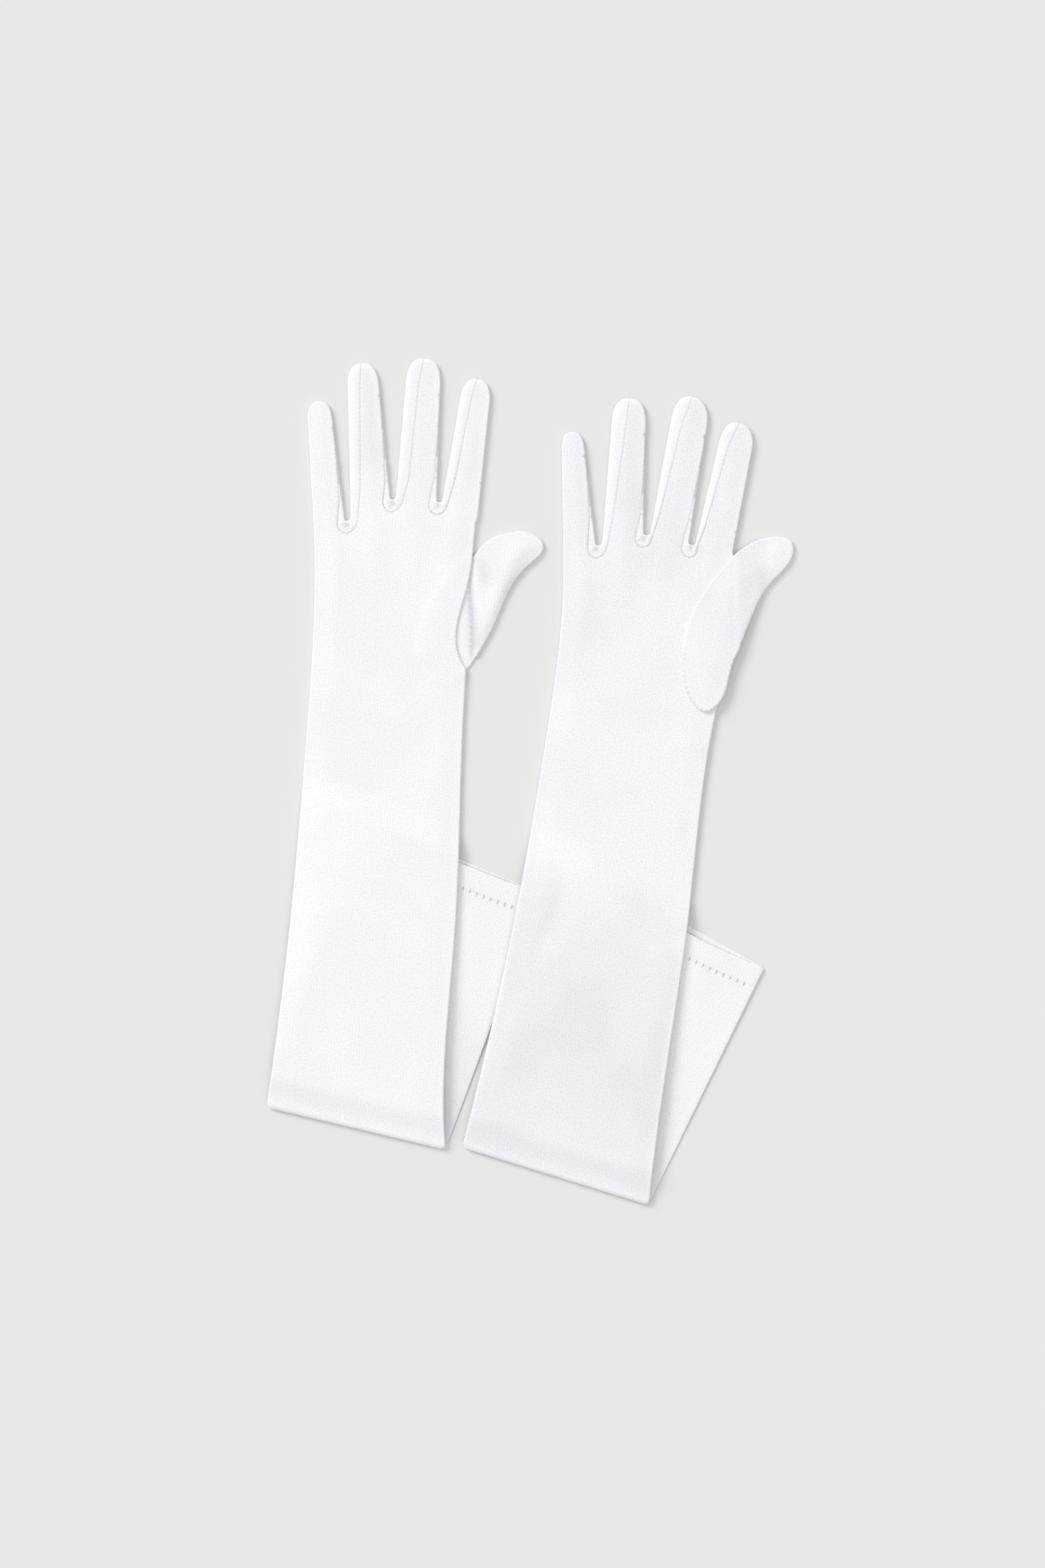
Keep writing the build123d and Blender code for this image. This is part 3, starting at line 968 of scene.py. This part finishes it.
def add_cuff(glove):
    """The folded-under end of the arm: an open tube whose mouth has a turned hem."""
    side, length = glove.side, glove.cuff_length
    shares = spread_across()
    body_rows = np.linspace(0, length - HEM - 1.2, CUFF_ROWS)
    rows = np.concatenate([body_rows, length - np.array(HEM_ROWS)])
    layers = []
    for layer in ("upper", "under"):
        grid = [cuff_row(glove, shares, row, layer) for row in rows]
        layers.append(np.array(grid + cuff_rim(glove, shares, layer)))
    points, faces = tube(layers, ([0, 1, 2, 3], [2, 1, 0, 3]))
    along = np.minimum(np.arange(len(layers[0])), len(rows) - 1)
    flat_rows = [np.column_stack([shares * CUFF_WIDTH, np.full(len(shares), -rows[i])]) for i in along]
    flat = np.vstack(flat_rows * 2)
    shade = cuff_shade(side, shares, rows[along])
    piece = make_piece(
        f"{side}_cuff_cloth", points, faces, vertex_normals(points, faces), flat, BRIGHT, "satin", shade
    )
    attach(piece, glove.body("cuff"))
    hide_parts(f"{side}_cuff")
    return piece


def cuff_shade(side, shares, along):
    """Painted shade: darker towards the fold, and dark where the under cloth goes into the mouth."""
    darker_tone = CUFF_SHADE[side] * (1 - smoothstep(along / CUFF_SHADE_RUN))
    shade = np.repeat(darker_tone[None, :, None], 2, 0) * np.ones(len(shares))
    bow = mouth_bow(shares) * MOUTH_SHIFT[side]
    for i, row in enumerate(MOUTH_ROWS):
        dark = smoothstep((row - bow + 0.9) / 0.8) * smoothstep(bow / 0.8)
        shade[1, len(along) - len(MOUTH_ROWS) + i] += 0.9 * dark
    return shade.ravel()


def mouth_bow(shares):
    """How much of the full shift the upper cloth's edge has, across the cuff."""
    return np.sin(np.pi * np.clip(shares, 0, 1)) ** 0.8


def cuff_row(glove, shares, row, layer):
    """One row of points across the cuff, at a distance along it from the fold."""
    (start_l, start_r), (end_l, end_r) = glove.cuff_start, glove.cuff_end
    share = row / glove.cuff_length
    left = start_l + (end_l - start_l) * share
    right = start_r + (end_r - start_r) * share
    places = left + (right - left) * shares[:, None]
    if layer == "upper":
        towards = unit(end_l - start_l + end_r - start_r)
        near_mouth = smoothstep((share - 0.7) / 0.3)
        shift = MOUTH_SHIFT[glove.side] * near_mouth * mouth_bow(shares)
        places = places - towards * shift[:, None]
    upper, under = cuff_section(glove, shares, glove.away_from_fold(places))
    height = under
    if layer == "upper":
        width = np.hypot(*(right - left))
        gap = np.minimum(shares, 1 - shares) * width
        past_stitches = row - (glove.cuff_length - HEM)
        step = HEM_STEP * smoothstep(past_stitches / 0.5)
        pucker = 1 + 0.8 * np.sin(2 * math.pi * shares * width / TICK_PITCH)
        dent = 0.12 * np.exp(-((past_stitches / 0.6) ** 2)) * pucker
        waves = undulation(places, CUFF_SEED) * SMALL_WAVE * smoothstep(gap / 14) * smoothstep(row / 12)
        height = upper + waves + (step - dent) * smoothstep(gap / 3)
    height = np.where((shares <= 0) | (shares >= 1), upper, height)
    return np.column_stack([places, height])


def cuff_rim(glove, shares, layer):
    """The rounded edge of the mouth and the inner side of the turned hem."""
    sign = -1 if layer == "upper" else 1
    length = glove.cuff_length
    gap = np.minimum(shares, 1 - shares) * CUFF_WIDTH
    thick = 2 * CLOTH * smoothstep(gap / 3)
    result = []
    for turn in np.linspace(0.25, 1, 4) * math.pi:
        base = cuff_row(glove, shares, length - HEM_ROWS[-1], layer)
        base[:, 2] += sign * thick * (1 - math.cos(turn)) / 2
        forward = (HEM_ROWS[-1] + CLOTH * math.sin(turn)) * smoothstep(gap / 2)
        base[:, :2] += unit(glove.cuff_end[0] - glove.cuff_start[0]) * forward[:, None]
        result.append(base)
    for row in MOUTH_ROWS:
        base = cuff_row(glove, shares, length - row, layer)
        base[:, 2] += sign * thick
        result.append(base)
    return result


def add_fold(glove, solid):
    """The soft roll where the arm turns under into the cuff."""
    side = glove.side
    shares = spread_across()
    arm = glove.fold_line
    cuff = glove.cuff_start[0] + (glove.cuff_start[1] - glove.cuff_start[0]) * shares[:, None]
    gap = gap_to(arm, glove.long_rim)
    top, bottom = fold_heights(arm, solid)
    cuff_upper, cuff_under = cuff_section(glove, shares, glove.away_from_fold(cuff))
    edge = rounded(gap, CORNER)
    layers = []
    for high, low, reach in (
        (top, cuff_under, EDGE_REACH + (FOLD_ROOM - EDGE_REACH) * edge),
        (bottom, cuff_upper, EDGE_REACH + (INNER_REACH - EDGE_REACH) * edge),
    ):
        rows = []
        for step in range(FOLD_STEPS + 1):
            turn = math.pi * step / FOLD_STEPS
            place = arm + (cuff - arm) * step / FOLD_STEPS
            place = place - glove.away * (reach * math.sin(turn))[:, None]
            height = (high + low) / 2 + (high - low) / 2 * math.cos(turn)
            rows.append(np.column_stack([place, height]))
        layers.append(np.array(rows))
    points, faces = tube(layers, ([0, 3, 2, 1], [1, 2, 3, 0]))
    flat = along_glove(glove, points[:, :2])
    normals = vertex_normals(points, faces)
    piece = make_piece(f"{side}_fold_cloth", points, faces, normals, flat, UPPER_FACE[side], "satin")
    # the arm's end of the roll lies above FOLD_LEVEL, and the cuff's end below the settled cuff's top
    low = Vector((*glove.fold, CUFF_HEIGHTS[0][1] + 0.05)) * MM
    high = Vector((*glove.fold, FOLD_LEVEL)) * MM
    glove.body("cuff")
    glove.body("hand")
    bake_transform(piece)
    return piece


def fold_heights(arm, solid):
    """Heights of the arm's upper and under cloth where it meets the roll, read from its mesh."""
    count = len(solid) // 2
    top = np.empty(len(arm))
    bottom = np.empty(len(arm))
    for number, place in enumerate(arm):
        spot = int(np.hypot(*(solid[:count, :2] - place).T).argmin())
        top[number] = solid[spot, 2]
        bottom[number] = solid[spot + count, 2] if 0 < number < len(arm) - 1 else solid[spot, 2]
    return top, bottom


# ================================================================ thumbs
def add_thumb(glove):
    """The thumb: a base sewn to the palm and a free end, one cloth in two pieces."""
    side = glove.side
    place, _, across = joint(f"{side}_thumb_fold")
    base, free = f"{side}_thumb_base", f"{side}_thumb"
    loop = graft(cad_outline([base]), cad_outline([free]), place, across)
    loop = soften(resample(loop, OUTLINE_STEP / 2), THUMB_ROUNDS)
    loop = resample(loop, OUTLINE_STEP)
    top = profile([base, free], place, across, 1)
    bottom = profile([base, free], place, across, -1)
    on_fold = loop[np.abs((loop - place) @ across) < 0.8]
    start, end = on_fold[:, 1].min() - 0.2, on_fold[:, 1].max() + 0.2
    cut = np.column_stack([np.full(60, place[0]), np.linspace(start, end, 60)])
    points, faces = triangulate(loop, np.vstack([loop, loop[:1]]), [], [cut])
    gap, nearest = distance_to(points, loop, closed=True)
    rim = gap < 1e-3
    shade = np.tile(thumb_shade(glove, points, gap, loop, nearest), 2)
    from_fold = (points - place) @ across
    high, low = top(from_fold), bottom(from_fold)
    middle = (high + low) / 2
    half = (high - low) / 2 - 0.05
    shape = 0.7 * rounded(gap, THUMB_TURN) + 0.3 * smoothstep(gap / 12)
    waves = undulation(points, THUMB_SEED) * SMALL_WAVE * smoothstep(gap / 10)
    waves += thumb_folds(glove, points) * smoothstep(gap / 3)
    upper = np.where(rim, middle, middle + half * shape + waves)
    under = np.where(rim, middle, np.maximum(middle - half * rounded(gap, THUMB_TURN), TABLE))
    solid, both = two_layers(points, faces, upper, under, rim)
    normals = vertex_normals(solid, both)
    flat = along_glove(glove, solid[:, :2])
    beyond = (solid[both].mean(1)[:, :2] - place) @ across > 0
    cloth = normals, flat, UPPER_FACE[side], "satin", shade
    base_piece = make_piece(f"{side}_thumb_base_cloth", solid, both[~beyond], *cloth)
    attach(base_piece, glove.body("hand"))
    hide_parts(base)
    free_piece = make_piece(f"{side}_thumb_cloth", solid, both[beyond], *cloth)
    bend_with(free_piece, glove, "thumb")
    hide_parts(free)
    return base_piece, free_piece


def thumb_folds(glove, points):
    """Soft folds down a thumb: deep on the glove whose thumb comes out from under the hand."""
    place, _, across = joint(f"{glove.side}_thumb_fold")
    middle, up = place, np.array([0.0, 1.0])
    strength = 1.0 if glove.side == "left" else 0.3
    height = ridge(points, middle + across * 26.0 + up * 36, middle - across * 1.0 - up * 24, 5.0, 1.0)
    height += ridge(points, middle + across * 4.0 + up * 30, middle + across * 16.0 + up * 10, 4.0, 0.3)
    return strength * height - 0.9 * strength * thumb_tuck(glove, points)


def thumb_tuck(glove, points):
    """1 along the line where the thumb's cloth is tucked under itself, fading away from the hand."""
    place, _, across = joint(f"{glove.side}_thumb_fold")
    start = place - across * 3.5 + [0.0, 20.0]
    end = place - across * 2.0 - [0.0, 34.0]
    run = end - start
    share = ((points - start) @ run) / (run @ run)
    off = (points - start - share[:, None] * run) @ across
    fade = np.sin(np.pi * np.clip(share, 0, 1)) ** 0.7
    reach = np.where(off > 0, 1.2 + 4.5 * np.clip(share, 0, 1), 0.35)
    return fade * np.exp(-((off / reach) ** 2))


def thumb_shade(glove, points, gap, loop, nearest):
    """Painted shade on a thumb: the tuck and hollows on one; on the other, dashes along the seam that joins
    it to the palm and a soft patch; a little over all on both.
    """
    place, _, across = joint(f"{glove.side}_thumb_fold")
    middle, up = place, np.array([0.0, 1.0])
    if glove.side == "left":
        shade = 0.9 * thumb_tuck(glove, points)
        shade += ridge(points, middle + across * 37 + up * 34, middle + across * 14 + up * 2, 5.0, 0.30)
        shade += ridge(points, middle - across * 2 + up * 30, middle + across * 9 + up * 10, 4.5, 0.26)
        return shade + 0.05
    along = np.arange(len(loop))[nearest] * OUTLINE_STEP
    dashes = np.clip(1.6 * np.cos(2 * math.pi * along / SEAM_DASH), 0, 1)
    low = smoothstep((middle[1] - 22 - points[:, 1]) / 10)
    shade = (0.15 + 0.55 * dashes * low) * np.exp(-(((gap - 0.5) / 0.4) ** 2))
    shade *= (points - middle) @ across < 4
    shade += ridge(points, middle + across * 20 + up * 17, middle + across * 8 + up * 9, 5.0, 0.16)
    return shade + 0.01


# ================================================================ stitches
def stitch_mesh(ticks):
    """Short rounded threads: each tick is (middle, direction, normal, length, radius)."""
    points, faces = [], []
    rows, around = 7, 8
    for middle, way, normal, length, radius in ticks:
        aside = np.cross(normal, way)
        begin = len(points)
        for i in range(rows):
            share = i / (rows - 1)
            arch = math.sin(math.pi * share)
            swell = radius * max(arch**0.5, 0.12)
            centre = middle + way * (share - 0.5) * length + normal * radius * 0.9 * arch
            for j in range(around):
                turn = 2 * math.pi * j / around
                points.append(centre + (aside * math.cos(turn) + normal * math.sin(turn)) * swell)
        for i in range(rows - 1):
            for j in range(around):
                a = begin + i * around + j
                b = begin + i * around + (j + 1) % around
                faces += [[a, b, b + around], [a, b + around, a + around]]
        for cap, order in ((begin, -1), (begin + (rows - 1) * around, 1)):
            ring = [cap + j for j in range(around)][::order]
            faces += [[ring[0], ring[j], ring[j + 1]] for j in range(1, around - 1)]
    return np.array(points), np.array(faces)


def add_hem_stitches(glove):
    """The row of short slanting stitches that holds the turned hem."""
    side = glove.side
    end_l, end_r = glove.cuff_end
    width = np.hypot(*(end_r - end_l))
    count = int((width - 2 * TICK_PITCH) / TICK_PITCH)
    shares = (TICK_PITCH + TICK_PITCH * np.arange(count + 1)) / width
    row = cuff_row(glove, shares, glove.cuff_length - HEM, "upper")
    across = np.array([*(end_r - end_l) / width, 0.0])
    up = np.array([0.0, 0.0, 1.0])
    random = np.random.default_rng(TICK_SEED)
    ticks = []
    for spot in row:
        angle = TICK_TILT + random.normal(0, 0.07)
        way = across * math.cos(angle) + np.cross(up, across) * math.sin(angle)
        length = TICK_LENGTH * random.uniform(0.9, 1.1)
        ticks.append((spot + up * TICK_LIFT, way, up, length, TICK_RADIUS))
    points, faces = stitch_mesh(ticks)
    piece = make_piece(f"{side}_hem_thread", points, faces, None, points[:, :2], THREAD, "thread")
    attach(piece, glove.body("cuff"))
    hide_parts(f"{side}_hem_stitches")
    return piece


# ================================================================ stage
def make_camera():
    """Straight down, from far off."""
    data = bpy.data.cameras.new("camera")
    data.sensor_fit = "VERTICAL"
    data.angle = 2 * math.atan(VIEW_HEIGHT / 2 / CAMERA_HEIGHT)
    camera = add_object("camera", data)
    middle = (Vector(CAD_BOX[0]) + Vector(CAD_BOX[1])) / 2
    camera.location = (middle.x + CAMERA_SHIFT[0], middle.y + CAMERA_SHIFT[1], CAMERA_HEIGHT)
    bpy.context.scene.camera = camera


def make_floor():
    """A plain pale floor."""
    material, _, principled = shader("floor")
    principled.inputs["Base Color"].default_value = (0.76, 0.76, 0.755, 1)
    principled.inputs["Roughness"].default_value = 0.9
    principled.inputs["Specular IOR Level"].default_value = 0.1
    mesh = bpy.data.meshes.new("floor")
    corners = [(x * FLOOR_HALF, y * FLOOR_HALF, 0) for x, y in ((-1, -1), (1, -1), (1, 1), (-1, 1))]
    mesh.from_pydata(corners, [], [(0, 1, 2, 3)])
    mesh.materials.append(material)
    add_object("floor", mesh)


def sun(name, place, strength, softness):
    """Even light from far off, shining from place towards the gloves."""
    data = bpy.data.lights.new(name, "SUN")
    data.energy = strength
    data.angle = math.radians(softness)
    lamp = add_object(name, data)
    lamp.location = place
    lamp.rotation_euler = (-Vector(place)).to_track_quat("-Z", "Y").to_euler()


def make_lights():
    """A soft key light from the upper left, a weak fill from above, and even light from all round."""
    sun("key", (-1.0, 0.9, 0.85), 1.78, 26)
    sun("fill", (0.3, -0.2, 2.5), 0.45, 60)
    world = bpy.data.worlds.new("studio")
    bpy.context.scene.world = world
    world.use_nodes = True
    background = world.node_tree.nodes["Background"]
    background.inputs["Color"].default_value = (0.975, 0.975, 1.0, 1)
    background.inputs["Strength"].default_value = 0.63
    bpy.context.scene.view_settings.view_transform = "Standard"


# ================================================================ making
def make_glove(side, below=None):
    """One glove, lying on the one below if there is one."""
    glove = Glove(side, below)
    hand, pieces, solid = add_hand(glove)
    fold = add_fold(glove, solid)
    cuff = add_cuff(glove)
    thread = add_hem_stitches(glove)
    base, thumb = add_thumb(glove)
    return glove


make_camera()
make_floor()
make_lights()
left_glove = make_glove("left")
make_glove("right", below=left_glove)
